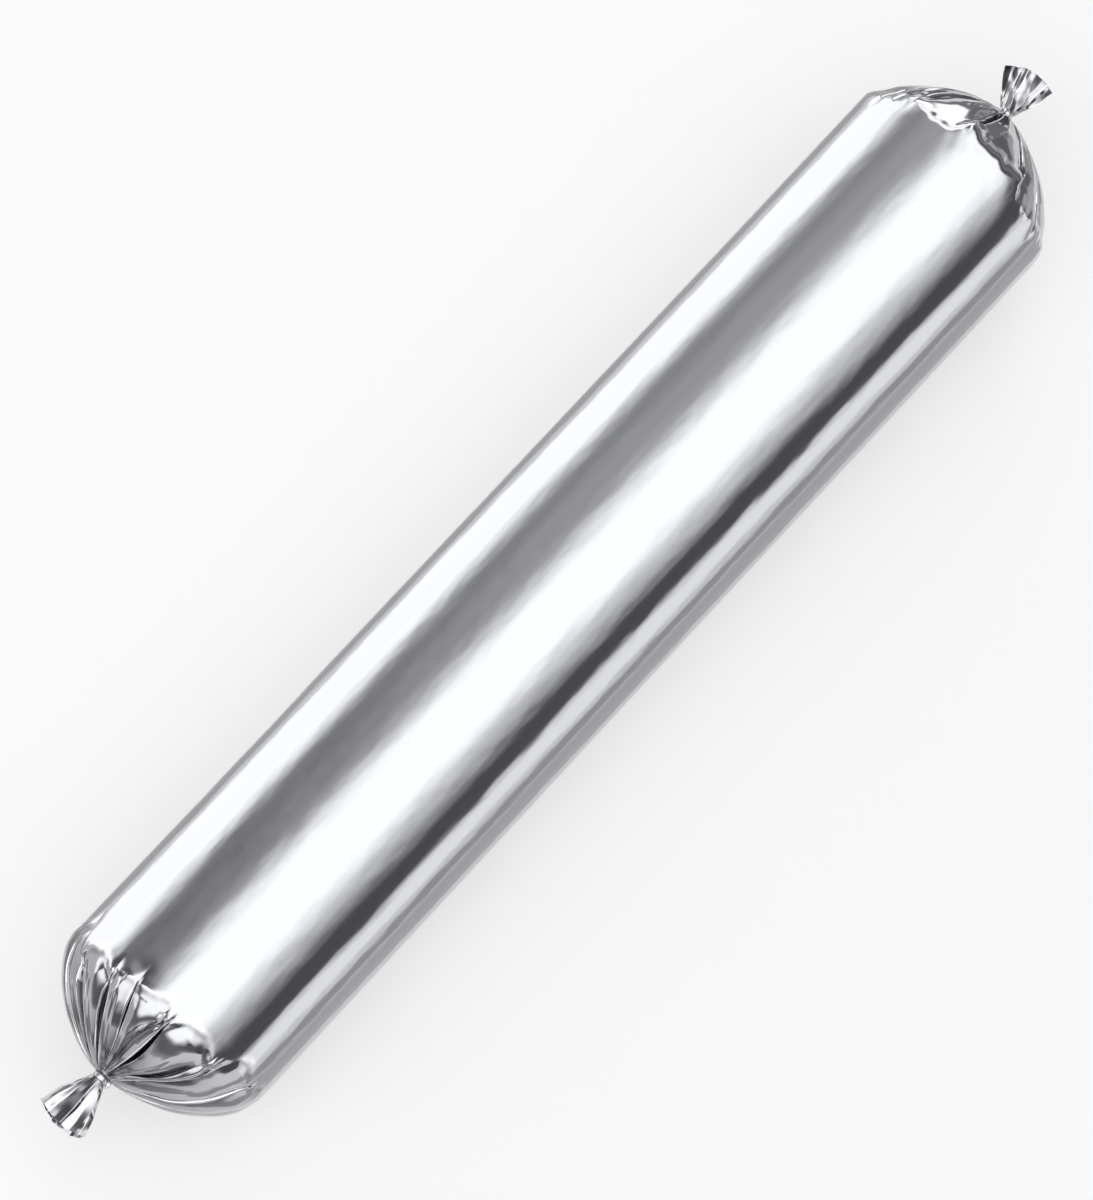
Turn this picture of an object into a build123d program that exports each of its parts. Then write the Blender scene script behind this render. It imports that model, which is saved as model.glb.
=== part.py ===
from build123d import *
import math
import os

os.makedirs("parts", exist_ok=True)

# A filled foil sausage pack lying on its side. All sizes are in millimetres.
# The pack runs along X, +Z is up, and the origin is under its middle, on the
# surface that it lies on. Near is the -X end, far is the +X end.

# Filled body
pack_diameter = 50.0  # slides into the barrel of a 50 mm sausage gun
straight_length = 235.1  # even, round part, from shoulder to shoulder
flat_depth = 0.6  # how far the soft pack has settled on its underside

# Rounded ends, where the foil is gathered towards the neck
near_dome_length = 18.8
far_dome_length = 23.0
near_dome_fullness = 0.66  # power of the end's profile: a smaller one is fuller
far_dome_fullness = 0.78
near_neck_shift = 1.4  # how far each neck sits off the middle, towards +Y
far_neck_shift = 0.8

# Gathers: the angle of each fold from the top of the pack, positive towards -Y
near_folds = (-48, -24, -5, 18, 46, 76, 99, 124, 146, 171, 193, 218, 242, 264, 288)
far_folds = (-51, -30, 2, 39, 65, 94, 127, 158, 186, 221, 252, 283)
fold_depth = 1.5  # from the crown of a gather to the crease beside it
fold_start = 0.2  # share of an end's length in which a crease reaches most of its depth
fold_share = 0.3  # deepest crease, as a share of the distance between two folds
station_angles = (0, 12, 24, 36, 48, 60, 71, 81, 90)  # sections of an end, shoulder to neck

# Necks and clips
neck_diameter = 2.4  # foil squeezed solid under the clip
neck_bite = 1.5  # how far the squeezed foil reaches into the filled end and the tail
collar = 0.6  # how far the foil stands out from the neck on both sides of the clip
clip_width = 1.3  # along the neck
clip_clearance = 0.08  # between the clip and the foil, all round
clip_thickness = 0.55
clip_edge = 0.15  # bevel on the outer edges of the clip
clip_tab_height = 0.9  # how far the pressed ends stand out of the ring
clip_tab_width = 1.5  # both pressed ends together
clip_slit = 0.12  # gap between the two ends
near_tab_angle = 100.0  # where the ends meet, from the top, positive towards -Y
far_tab_angle = -10.0

# Tails: the short fans of foil beyond the clips
near_tail_length = 10.4
far_tail_length = 9.8
near_tail_turn = 4.0  # degrees about Z, so that it leans towards -Y
far_tail_turn = 11.0  # degrees about Z, so that it leans towards +Y
tail_mouth_diameter = 11.6
tail_fold_depth = 1.6  # from ridge to crease at the mouth
tail_waist_position = 0.3  # share of the length where the fan starts to open
tail_waist_diameter = 5.0
tail_wall = 0.45  # folded foil, measured along the radius
tail_floor_position = 0.4  # share of the length at the bottom of the mouth's hollow
tail_ridges = (1.0, 0.88, 1.03, 0.92, 0.84, 1.02, 0.9, 0.98, 0.86, 1.04, 0.9)

pack_radius = pack_diameter / 2
neck_radius = neck_diameter / 2
collar_radius = neck_radius + collar
axis_height = pack_radius - flat_depth
neck_length = clip_width + 2 * clip_clearance

# Stations along X, so that the whole length is centred on the origin
near_reach = near_tail_length * math.cos(math.radians(near_tail_turn))
far_reach = far_tail_length * math.cos(math.radians(far_tail_turn))
whole_length = (
    near_reach + near_dome_length + straight_length + far_dome_length + far_reach
    + 2 * neck_length
)
near_tail_root = near_reach - whole_length / 2
near_neck = near_tail_root + neck_length
near_shoulder = near_neck + near_dome_length
far_shoulder = near_shoulder + straight_length
far_neck = far_shoulder + far_dome_length
far_tail_root = far_neck + neck_length


def cross_plane(x, shift=0.0, turn=0.0):
    """Plane across the pack at x: its own x is +Y, its own y is +Z, turned about Z."""
    angle = math.radians(turn)
    outward = (math.cos(angle), math.sin(angle), 0)
    sideways = (-math.sin(angle), math.cos(angle), 0)
    return Plane(origin=(x, shift, axis_height), x_dir=sideways, z_dir=outward)


def at_angle(radius, degrees):
    """Point of a cross plane at an angle from the top, positive towards -Y."""
    angle = math.radians(degrees)
    return (-radius * math.sin(angle), radius * math.cos(angle))


def gathered_outline(plane, crown, depth, folds):
    """Section of a gathered end: one crowned arc between each two creases."""
    with BuildSketch(plane) as outline:
        with BuildLine():
            for first, second in zip(folds, folds[1:] + (folds[0] + 360,)):
                ThreePointArc(
                    at_angle(crown - depth, first),
                    at_angle(crown, (first + second) / 2),
                    at_angle(crown - depth, second),
                )
        make_face()
    return outline.sketch


def dome_radius(share, fullness):
    """Crown radius at a share of the way from the shoulder to the neck."""
    return collar_radius + (pack_radius - collar_radius) * (1 - share**2) ** fullness


def gathered_end(shoulder, neck, shift, fullness, folds):
    """Sections of one rounded end, in order of their place along X."""
    sections = []
    for station in station_angles:
        share = math.sin(math.radians(station))
        crown = collar_radius if station == 90 else dome_radius(share, fullness)
        pitch = 2 * math.pi * crown / len(folds)
        rise = 1 - math.exp(-share / fold_start)
        depth = min(fold_depth * rise, fold_share * pitch) * (1 - neck_radius / crown)
        plane = cross_plane(shoulder + (neck - shoulder) * share, shift * share**2)
        sections.append(gathered_outline(plane, crown, depth, folds))
    return sections if neck > shoulder else sections[::-1]


def star_outline(plane, ridge, depth):
    """Folded section of a tail: straight panels between ridges and creases."""
    count = len(tail_ridges)
    corners = []
    for index, reach in enumerate(tail_ridges):
        corners.append(at_angle(ridge * reach, 360 * index / count))
        corners.append(at_angle(ridge - depth, 360 * (index + 0.5) / count))
    with BuildSketch(plane) as outline:
        with BuildLine():
            Polyline(*corners, close=True)
        make_face()
    return outline.sketch


def tail_plane(root, shift, reach, turn, share):
    """Plane across a tail turned about Z, at a share of its reach from the clip."""
    angle = math.radians(turn)
    x = root + reach * share * math.cos(angle)
    y = shift + reach * share * math.sin(angle)
    return cross_plane(x, y, turn)


def tail_outside(place, direction):
    """Sections of a fan of folded foil, in order of their place along X."""
    root, shift = place[:2]
    mouth = tail_mouth_diameter / 2
    waist = tail_waist_diameter / 2
    waist_depth = tail_fold_depth * waist / mouth
    root_depth = tail_fold_depth * collar_radius / mouth
    root_section = star_outline(cross_plane(root, shift), collar_radius, root_depth)
    waist_section = star_outline(tail_plane(*place, tail_waist_position), waist, waist_depth)
    mouth_section = star_outline(tail_plane(*place, 1), mouth, tail_fold_depth)
    return [root_section, waist_section, mouth_section][::direction]


def tail_hollow(place, direction):
    """Sections of the hollow in a fan, in order of their place along X."""
    mouth = tail_mouth_diameter / 2
    waist = tail_waist_diameter / 2
    opened = (tail_floor_position - tail_waist_position) / (1 - tail_waist_position)
    floor = waist + (mouth - waist) * opened
    floor_depth = tail_fold_depth * floor / mouth
    floor_plane = tail_plane(*place, tail_floor_position)
    floor_section = star_outline(floor_plane, floor - tail_wall, floor_depth)
    mouth_section = star_outline(tail_plane(*place, 1), mouth - tail_wall, tail_fold_depth)
    return [floor_section, mouth_section][::direction]


near_tail = (near_tail_root, near_neck_shift, -near_tail_length, near_tail_turn)
far_tail = (far_tail_root, far_neck_shift, far_tail_length, far_tail_turn)

with BuildPart() as foil_pack:
    # Even round body
    with BuildSketch(cross_plane(near_shoulder)):
        Circle(pack_radius)
    extrude(amount=straight_length)
    # Gathered ends
    near_end = (near_shoulder, near_neck, near_neck_shift, near_dome_fullness, near_folds)
    loft(gathered_end(*near_end), ruled=True)
    far_end = (far_shoulder, far_neck, far_neck_shift, far_dome_fullness, far_folds)
    loft(gathered_end(*far_end), ruled=True)
    # Squeezed necks under the clips
    with BuildSketch(cross_plane(near_tail_root - neck_bite, near_neck_shift)):
        Circle(neck_radius)
    extrude(amount=neck_length + 2 * neck_bite)
    with BuildSketch(cross_plane(far_neck - neck_bite, far_neck_shift)):
        Circle(neck_radius)
    extrude(amount=neck_length + 2 * neck_bite)
    # Fans of foil beyond the clips
    loft(tail_outside(near_tail, -1), ruled=True)
    loft(tail_hollow(near_tail, -1), ruled=True, mode=Mode.SUBTRACT)
    loft(tail_outside(far_tail, 1), ruled=True)
    loft(tail_hollow(far_tail, 1), ruled=True, mode=Mode.SUBTRACT)
    # Flat spot on the underside
    split(bisect_by=Plane.XY, keep=Keep.TOP)

foil_pack.part.label = "foil_pack"
export_step(foil_pack.part, "parts/foil_pack.step")


def clip_outline(plane, tab_angle):
    """Section of a clip: a ring whose two ends are pressed together in a tab."""
    inner = neck_radius + clip_clearance
    outer = inner + clip_thickness
    reach = outer + clip_tab_height
    middle = at_angle(reach / 2, tab_angle)
    with BuildSketch(plane) as outline:
        Circle(outer)
        with Locations(middle):
            Rectangle(clip_tab_width, reach, rotation=tab_angle)
            Rectangle(clip_slit, reach, rotation=tab_angle, mode=Mode.SUBTRACT)
        Circle(inner, mode=Mode.SUBTRACT)
    return outline.sketch


with BuildPart() as near_clip:
    near_seat = cross_plane(near_tail_root + clip_clearance, near_neck_shift)
    extrude(clip_outline(near_seat, near_tab_angle), amount=clip_width)
    chamfer(near_clip.edges().filter_by(GeomType.CIRCLE).group_by(SortBy.RADIUS)[-1], clip_edge)

near_clip.part.label = "near_clip"
export_step(near_clip.part, "parts/near_clip.step")

with BuildPart() as far_clip:
    far_seat = cross_plane(far_neck + clip_clearance, far_neck_shift)
    extrude(clip_outline(far_seat, far_tab_angle), amount=clip_width)
    chamfer(far_clip.edges().filter_by(GeomType.CIRCLE).group_by(SortBy.RADIUS)[-1], clip_edge)

far_clip.part.label = "far_clip"
export_step(far_clip.part, "parts/far_clip.step")
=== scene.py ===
import math

import bpy
import numpy as np
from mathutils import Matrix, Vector


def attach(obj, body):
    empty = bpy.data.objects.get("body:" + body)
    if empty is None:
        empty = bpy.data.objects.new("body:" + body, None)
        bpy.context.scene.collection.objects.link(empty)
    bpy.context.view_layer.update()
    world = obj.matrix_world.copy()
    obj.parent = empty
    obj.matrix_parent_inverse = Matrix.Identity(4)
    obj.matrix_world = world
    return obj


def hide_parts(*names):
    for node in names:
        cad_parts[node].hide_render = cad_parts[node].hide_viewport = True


# A filled foil sausage pack lies along X on the floor, near end at -X.
# Lengths in the dictionaries are millimetres and angles are degrees; an angle
# round the pack is measured from its top, positive towards -Y.

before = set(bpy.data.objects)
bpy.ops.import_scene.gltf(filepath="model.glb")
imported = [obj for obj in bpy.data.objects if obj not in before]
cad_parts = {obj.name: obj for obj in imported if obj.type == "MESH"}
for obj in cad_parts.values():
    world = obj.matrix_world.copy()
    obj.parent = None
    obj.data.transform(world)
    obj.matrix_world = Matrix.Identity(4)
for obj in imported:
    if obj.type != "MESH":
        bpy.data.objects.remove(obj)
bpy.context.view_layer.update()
mm = 0.001
print("frame loaded:", ", ".join(sorted(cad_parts)))


def hexLinear(code):
    # sRGB hex to the linear colour that the shaders take
    parts = [int(code[i:i + 2], 16) / 255 for i in (1, 3, 5)]
    return [c / 12.92 if c <= 0.04045 else ((c + 0.055) / 1.055) ** 2.4 for c in parts] + [1.0]


def addNode(tree, kind, links=(), **settings):
    # one node with its settings; links are (input, source socket) pairs
    made = tree.nodes.new(kind)
    for name, value in settings.items():
        if name.startswith("in_"):
            key = name[3:]
            made.inputs[int(key) if key.isdigit() else key.replace("_", " ")].default_value = value
        else:
            setattr(made, name, value)
    for key, source in links:
        tree.links.new(source, made.inputs[key])
    return made


def newMaterial(name):
    made = bpy.data.materials.new(name)
    made.use_nodes = True
    made.node_tree.nodes.clear()
    return made, made.node_tree


def smoothStep(low, high, value):
    t = np.clip((value - low) / (high - low), 0, 1)
    return t * t * (3 - 2 * t)


view = {
    "azimuth": -48.239, "elevation": 72.771, "distance": 1230.8,
    "target": (-4.58, 1.454, 24.4), "lens": 180.0,
}
az, el = math.radians(view["azimuth"]), math.radians(view["elevation"])
back = Vector((math.sin(az) * math.cos(el), -math.cos(az) * math.cos(el), math.sin(el)))
camera = bpy.data.cameras.new("camera")
camera.lens = view["lens"]
camera.sensor_width = 36
camera.clip_start, camera.clip_end = 0.05, 60
viewer = bpy.data.objects.new("camera", camera)
bpy.context.scene.collection.objects.link(viewer)
viewer.location = (Vector(view["target"]) + back * view["distance"]) * mm
viewer.rotation_euler = back.to_track_quat("Z", "Y").to_euler()
bpy.context.scene.camera = viewer
bpy.context.scene.view_settings.view_transform = "Standard"

studio = {
    "floorColour": "#F8F8F9", "floorSize": 14.0, "tentRadius": 7.0,
    # light by angle from overhead, negative towards +Y, on the cloth over the pack
    "overhead": (
        (-90, 2.3), (-80, 2.2), (-74, 1.6), (-67, 0.84), (-60, 0.54), (-54, 0.50), (-42, 0.66),
        (-30, 0.66), (-22, 0.79), (-16, 1.15), (-10, 1.57), (-4, 2.0), (2, 2.27),
        (38, 2.27), (44, 1.97), (50, 1.42), (57, 1.12), (63, 0.90), (69, 0.46),
        (76, 0.24), (84, 0.15), (90, 0.14),
    ),
    # the same towards the near end, where the shaded side is darker
    "overheadNear": (
        (-90, 2.3), (-80, 2.3), (-72, 2.0), (-66, 1.0), (-60, 0.25), (-48, 0.14),
        (-30, 0.22), (-20, 0.5), (-12, 1.4), (-4, 2.2), (2, 2.27),
        (39, 2.27), (47, 1.58), (56, 0.95), (62, 0.5), (68, 0.2),
        (78, 0.12), (90, 0.1),
    ),
    # light by height above the horizon, on the cloth beyond each end, and there on
    # one side of it: towards -Y at the near end, towards +Y at the far end
    "beyondNear": (
        (0, 0.68), (5, 0.48), (10, 0.27), (20, 0.24), (27, 1.1), (34, 2.1), (90, 2.3),
    ),
    "besideNear": (
        (0, 0.56), (3, 0.42), (8, 0.2), (28, 0.14), (36, 1.1), (46, 2.2), (90, 2.3),
    ),
    "beyondFar": (
        (0, 0.35), (12, 0.3), (28, 0.18), (46, 0.16), (54, 1.3), (62, 2.2), (90, 2.3),
    ),
    "besideFar": ((0, 0.35), (8, 0.4), (15, 2.0), (48, 2.3), (90, 2.3)),
    # cards beside the pack, out of the picture: range along X, Y and Z, level
    "cards": (
        ((-132, 170), (90, 90), (-8, 58), 1.70),
        ((-250, -118), (90, 90), (-8, 58), 0.70),
        ((-176, -120), (22, 62), (-8, 24), 0.36),
        ((-172, -172), (-40, 34), (-8, 22), 0.42),
        ((-176, -120), (-20, -62), (-8, 24), 0.44),
        ((-132, 170), (40, 40), (-8, 26), 0.50),
        ((-132, 190), (-85, -85), (6, 34), 1.28),
        ((-132, 190), (-85, -85), (33, 66), 0.11),
        ((-132, 190), (-60, -60), (-6, 15), 0.44),
        ((-132, 190), (-34, -34), (-8, 27), 0.56),
        ((180, 180), (-4, 120), (-4, 46), 0.24),
        ((180, 180), (-120, 4), (-4, 25), 0.5),
        ((179, 179), (-120, 4), (16, 50), 0.18),
        ((176, 176), (10, 100), (22, 66), 1.84),
    ),
    "cardFade": (0.05, 0.22), "tentLevel": 0.78, "tentFoot": -0.02,
    # where parts of the cloth blend: bearing from the end's middle in degrees,
    # and shares of the way towards +X
    "turnNear": (-24.0, -36.0), "turnFar": (20.0, 30.0),
    "meetNear": (-0.30, -0.38), "meetFar": (0.42, 0.52), "meetHalfway": (0.24, 0.02),
    # the near end's part draws back towards the sides
    "drawnBack": (0.3, 1.0), "drawnBackMost": 0.42,
    # how much of the pack's shadow on the paper shows to the camera, and in the foil
    "paperGlow": 0.97, "shadowShare": 0.45, "shadowMirrored": 0.85,
}


def paperMaterial():
    # matt background paper. The camera and the foil see it near white, with a part
    # of the pack's shadow.
    made, tree = newMaterial("white background paper")
    shade = addNode(tree, "ShaderNodeBsdfDiffuse", in_Color=hexLinear(studio["floorColour"]))
    white = addNode(tree, "ShaderNodeEmission", in_Strength=studio["paperGlow"])
    path = addNode(tree, "ShaderNodeLightPath")
    seen = addNode(tree, "ShaderNodeMath", [(0, path.outputs["Is Camera Ray"])],
                   operation="MULTIPLY", in_1=1 - studio["shadowShare"])
    through = addNode(tree, "ShaderNodeMath", [(0, path.outputs["Is Glossy Ray"]),
                                               (1, path.outputs["Is Transmission Ray"])],
                      operation="MAXIMUM")
    mirrored = addNode(tree, "ShaderNodeMath", [(0, through.outputs[0])], operation="MULTIPLY",
                       in_1=1 - studio["shadowMirrored"])
    whiter = addNode(tree, "ShaderNodeMath", [(0, seen.outputs[0]), (1, mirrored.outputs[0])],
                     operation="MAXIMUM")
    both = addNode(tree, "ShaderNodeMixShader", [(0, whiter.outputs[0]), (1, shade.outputs[0]),
                                                 (2, white.outputs[0])])
    addNode(tree, "ShaderNodeOutputMaterial", [("Surface", both.outputs[0])])
    return made


bpy.ops.object.select_all(action="DESELECT")
bpy.ops.mesh.primitive_plane_add(size=studio["floorSize"], location=(0, 0, 0))
floor = bpy.context.object
floor.name = "studioFloor"
floor.data.materials.append(paperMaterial())


def glowRamp(tree, degrees, levels, low):
    # strength of the light by an angle in degrees, from the lowest to 90
    share = addNode(tree, "ShaderNodeMapRange", [("Value", degrees)],
                    in_From_Min=low, in_From_Max=90)
    ramp = addNode(tree, "ShaderNodeValToRGB", [("Fac", share.outputs[0])])
    stops = ramp.color_ramp.elements
    most = max(level for _, level in levels)
    stops.remove(stops[-1])
    for spot, (angle, level) in enumerate(levels):
        position = (angle - low) / (90 - low)
        stop = stops[0] if spot == 0 else stops.new(position)
        stop.position = position
        stop.color = [level / most] * 3 + [1]
    strength = addNode(tree, "ShaderNodeMath", [(0, ramp.outputs["Color"])],
                       operation="MULTIPLY", in_1=most)
    return strength.outputs[0]


def blendOver(tree, value, ends, first, second):
    # from the first source to the second while a value runs between its two ends
    share = addNode(tree, "ShaderNodeMapRange", [("Value", value)],
                    in_From_Min=ends[0], in_From_Max=ends[1])
    blend = addNode(tree, "ShaderNodeMix", [("Factor", share.outputs[0]), ("A", first),
                                            ("B", second)])
    return blend.outputs[0]


def tentMaterial():
    # white diffusing cloth, lit unevenly from outside: a broad bright field
    # overhead, darker towards the sides and ends
    made, tree = newMaterial("diffusing tent cloth")
    place = addNode(tree, "ShaderNodeTexCoord")
    toward = addNode(tree, "ShaderNodeVectorMath", [(0, place.outputs["Object"])],
                     operation="NORMALIZE")
    split = addNode(tree, "ShaderNodeSeparateXYZ", [("Vector", toward.outputs[0])])
    x, y, z = split.outputs
    # the angle round the pack, the height above the horizon and the bearing
    minus = addNode(tree, "ShaderNodeMath", [(0, y)], operation="MULTIPLY", in_1=-1.0)
    roll = addNode(tree, "ShaderNodeMath", [(0, minus.outputs[0]), (1, z)], operation="ARCTAN2")
    rise = addNode(tree, "ShaderNodeMath", [(0, z)], operation="ARCSINE")
    endwise = addNode(tree, "ShaderNodeMath", [(0, x)], operation="ABSOLUTE")
    swing = addNode(tree, "ShaderNodeMath", [(0, y), (1, endwise.outputs[0])],
                    operation="ARCTAN2")
    rollDegrees, riseDegrees, swingDegrees = [
        addNode(tree, "ShaderNodeMath", [(0, angle.outputs[0])], operation="DEGREES").outputs[0]
        for angle in (roll, rise, swing)]
    above, aboveNear = [glowRamp(tree, rollDegrees, studio[part], -90)
                        for part in ("overhead", "overheadNear")]
    near, nearSide, far, farSide = [
        glowRamp(tree, riseDegrees, studio[part], 0)
        for part in ("beyondNear", "besideNear", "beyondFar", "besideFar")]
    nearBoth = blendOver(tree, swingDegrees, studio["turnNear"], near, nearSide)
    farBoth = blendOver(tree, swingDegrees, studio["turnFar"], far, farSide)
    over = blendOver(tree, x, studio["meetHalfway"], above, aboveNear)
    # the near end's light gives way to the light over the pack towards its sides
    sideways = addNode(tree, "ShaderNodeMath", [(0, y)], operation="ABSOLUTE")
    backMin, backMax = studio["drawnBack"]
    drawn = addNode(tree, "ShaderNodeMapRange", [("Value", sideways.outputs[0])],
                    in_From_Min=backMin, in_From_Max=backMax, in_To_Max=studio["drawnBackMost"])
    nearness = addNode(tree, "ShaderNodeMath", [(0, x), (1, drawn.outputs[0])], operation="ADD")
    first = blendOver(tree, nearness.outputs[0], studio["meetNear"], over, nearBoth)
    both = blendOver(tree, x, studio["meetFar"], first, farBoth)
    level = addNode(tree, "ShaderNodeMath", [(0, both)], operation="MULTIPLY",
                    in_1=studio["tentLevel"])
    glow = addNode(tree, "ShaderNodeEmission", [("Strength", level.outputs[0])])
    addNode(tree, "ShaderNodeOutputMaterial", [("Surface", glow.outputs[0])])
    made.cycles.emission_sampling = "NONE"
    return made


bpy.ops.object.select_all(action="DESELECT")
bpy.ops.mesh.primitive_uv_sphere_add(segments=96, ring_count=48, radius=studio["tentRadius"])
tent = bpy.context.object
tent.name = "lightTent"
bpy.ops.object.mode_set(mode="EDIT")
bpy.ops.mesh.select_all(action="SELECT")
bpy.ops.mesh.bisect(plane_co=(0, 0, studio["tentFoot"]), plane_no=(0, 0, 1), clear_inner=True)
bpy.ops.object.mode_set(mode="OBJECT")
tent.data.materials.append(tentMaterial())
tent.visible_camera = False


def cardMaterial(level):
    # a card that glows evenly and fades out towards its edges
    made, tree = newMaterial("soft card")
    place = addNode(tree, "ShaderNodeTexCoord")
    split = addNode(tree, "ShaderNodeSeparateXYZ", [("Vector", place.outputs["UV"])])
    fades = []
    for axis, edge in zip(("X", "Y"), studio["cardFade"]):
        inner = addNode(tree, "ShaderNodeMath", [(0, split.outputs[axis])], operation="PINGPONG",
                        in_1=0.5)
        fades.append(addNode(tree, "ShaderNodeMapRange", [("Value", inner.outputs[0])],
                             in_From_Min=0.0, in_From_Max=edge,
                             interpolation_type="SMOOTHSTEP"))
    fade = addNode(tree, "ShaderNodeMath", [(0, fades[0].outputs[0]), (1, fades[1].outputs[0])],
                   operation="MULTIPLY")
    clear = addNode(tree, "ShaderNodeBsdfTransparent")
    glow = addNode(tree, "ShaderNodeEmission", in_Strength=level)
    mixed = addNode(tree, "ShaderNodeMixShader", [(0, fade.outputs[0]), (1, clear.outputs[0]),
                                                  (2, glow.outputs[0])])
    addNode(tree, "ShaderNodeOutputMaterial", [("Surface", mixed.outputs[0])])
    made.cycles.emission_sampling = "NONE"
    return made


for (x0, x1), (y0, y1), (z0, z1), level in studio["cards"]:
    # an upright card: its corners lie along X or along Y
    bpy.ops.object.select_all(action="DESELECT")
    bpy.ops.mesh.primitive_plane_add(size=2)
    card = bpy.context.object
    card.name = "softCard"
    for corner in card.data.vertices:
        along, up = (corner.co.x + 1) / 2, (corner.co.y + 1) / 2
        corner.co = Vector((x0 + (x1 - x0) * along, y0 + (y1 - y0) * along,
                            z0 + (z1 - z0) * up)) * mm
    card.data.materials.append(cardMaterial(level))
    card.visible_camera = card.visible_diffuse = card.visible_shadow = False

world = bpy.data.worlds.new("studio")
world.use_nodes = True
bpy.context.scene.world = world
world.node_tree.nodes["Background"].inputs["Color"].default_value = (1, 1, 1, 1)
world.node_tree.nodes["Background"].inputs["Strength"].default_value = 1.0
world.cycles.sampling_method = "NONE"
print("studio ready")

skin = {
    "radius": 25.0, "axisHeight": 24.4, "nearClip": -138.80, "farClip": 139.56,
    "collar": 1.8, "neck": 1.2, "halfNeck": 0.73, "neckRipple": (0.05, 13),
    # painted shade on the neck under the clip
    "neckPaintedShade": 0.3,
    # rings and columns of the mesh
    "foldColumns": 16, "columns": 500, "bodyRows": 9, "shoulderRows": 10, "domeRows": 54,
    "neckRows": 5, "tailRows": 19, "hollowRows": 7, "shoulderReach": 14.0,
    # wall of a tail, and the share of its length at the bottom of its hollow
    "wall": 0.2, "hollowShare": 0.4,
    "seed": 7, "smoothAngle": 50,
}

# One gather seen from the end: a slit between two lips. Place across it as a
# share of its half width, and of its opening near the slit, height as a share of
# its depth, and its painted light: above 0 painted shade in the crease, below 0 a
# painted highlight on the edge. The first lip stands higher.
foldSection = (
    (-1.00, 0, 0.00, 0.0), (-0.60, 0, 0.05, 0.1), (-0.34, -0.50, 0.15, -0.1),
    (-0.20, -0.80, 0.25, -1.0), (-0.06, -1.00, 0.27, -1.0), (0.0, -1.06, 0.08, -0.3),
    (0.0, -0.95, -0.45, 0.8), (0.0, -0.35, -1.00, 1.0), (0.0, 0.30, -0.84, 0.9),
    (0.0, 0.46, -0.50, 0.7), (0.0, 0.60, -0.10, 0.2), (0.0, 0.74, 0.12, -0.9),
    (0.10, 0.90, 0.14, -0.9), (0.20, 1.10, 0.00, 0.3), (0.50, 0.50, -0.06, 0.25),
    (1.00, 0, 0.00, 0.0),
)

# Gathers: path as (distance from the clip, angle), half width, widest opening on
# each side of its middle, depth, and the side of the higher lip
nearFolds = (
    (((14.2, -48.3), (9.5, -44.5), (5.8, -41), (2.4, -36.8)), 2.3, 1.15, 1.8, 1),
    (((14.7, -23), (10.2, -22), (5.9, -19.2), (2.6, -16.8)), 2.2, 0.66, 1.2, 1),
    (((16.5, -9.6), (11.1, -6.4), (7.3, -2.7), (2.0, 2.0)), 1.9, 0.14, 0.9, 1),
    (((13.2, 11.6), (11.5, 9.9), (9.9, 8.4), (3, 9)), 0.9, 0.05, 0.3, 1),
    (((14.5, 14.8), (10.2, 15.5), (6.1, 17), (3.6, 16.5)), 2.2, 0.66, 1.2, -1),
    (((13.2, 42.4), (11, 41.6), (7, 41), (3, 31)), 0.9, 0.05, 0.3, 1),
    (((14.6, 45.6), (11.5, 47.9), (7.7, 46.6), (4.5, 41.2)), 2.1, 0.58, 1.15, -1),
    (((17.5, 73.5), (14.1, 71), (9.9, 74), (3.2, 71)), 1.7, 0.3, 0.9, -1),
    (((17.0, 97), (9, 100), (3, 98)), 1.8, 0.5, 1.3, -1),
    (((15.4, 124), (9, 125), (3, 121)), 2.0, 0.6, 1.4, 1),
    (((16.8, 148), (9, 145), (3, 146)), 1.8, 0.5, 1.3, 1),
    (((15.2, 170), (9, 172), (3, 170)), 2.0, 0.6, 1.5, -1),
    (((16.9, 194), (9, 191), (3, 192)), 1.7, 0.4, 1.2, -1),
    (((15.0, 217), (9, 219), (3, 221)), 2.1, 0.65, 1.5, 1),
    (((16.5, 243), (9, 241), (3, 245)), 1.8, 0.5, 1.3, 1),
    (((15.8, 264), (9, 266), (3, 271)), 1.9, 0.5, 1.4, 1),
    (((20.2, 303), (13, 292.5), (8, 293), (3, 299)), 2.1, 0.9, 1.7, 1),
)
farFolds = (
    (((18.6, -51), (12, -53), (4, -48)), 1.8, 0.45, 1.3, 1),
    (((16.5, -30.6), (12.5, -32), (8.5, -30), (4, -25)), 2.0, 0.5, 1.4, 1),
    (((13.8, 2.2), (10.2, 4.5), (4.4, 8)), 2.2, 0.60, 1.7, 1),
    (((14.9, 39.2), (11, 40.5), (6.2, 38.5)), 3.2, 0.45, 1.6, -1),
    (((18.7, 65.2), (13.8, 67), (4, 61)), 1.9, 0.5, 1.4, -1),
    (((16.6, 95), (9, 93), (4, 90)), 1.8, 0.5, 1.3, -1),
    (((18.4, 126), (9, 128), (4, 126)), 2.0, 0.6, 1.5, 1),
    (((16.2, 159), (9, 157), (4, 160)), 1.9, 0.5, 1.4, 1),
    (((18.0, 186), (9, 188), (4, 188)), 2.1, 0.6, 1.5, -1),
    (((16.4, 221), (9, 220), (4, 222)), 1.9, 0.5, 1.4, 1),
    (((18.2, 251), (9, 253), (4, 255)), 2.0, 0.6, 1.5, 1),
    (((16.4, 283), (9, 282), (4, 286)), 1.9, 0.5, 1.4, -1),
)

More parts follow.
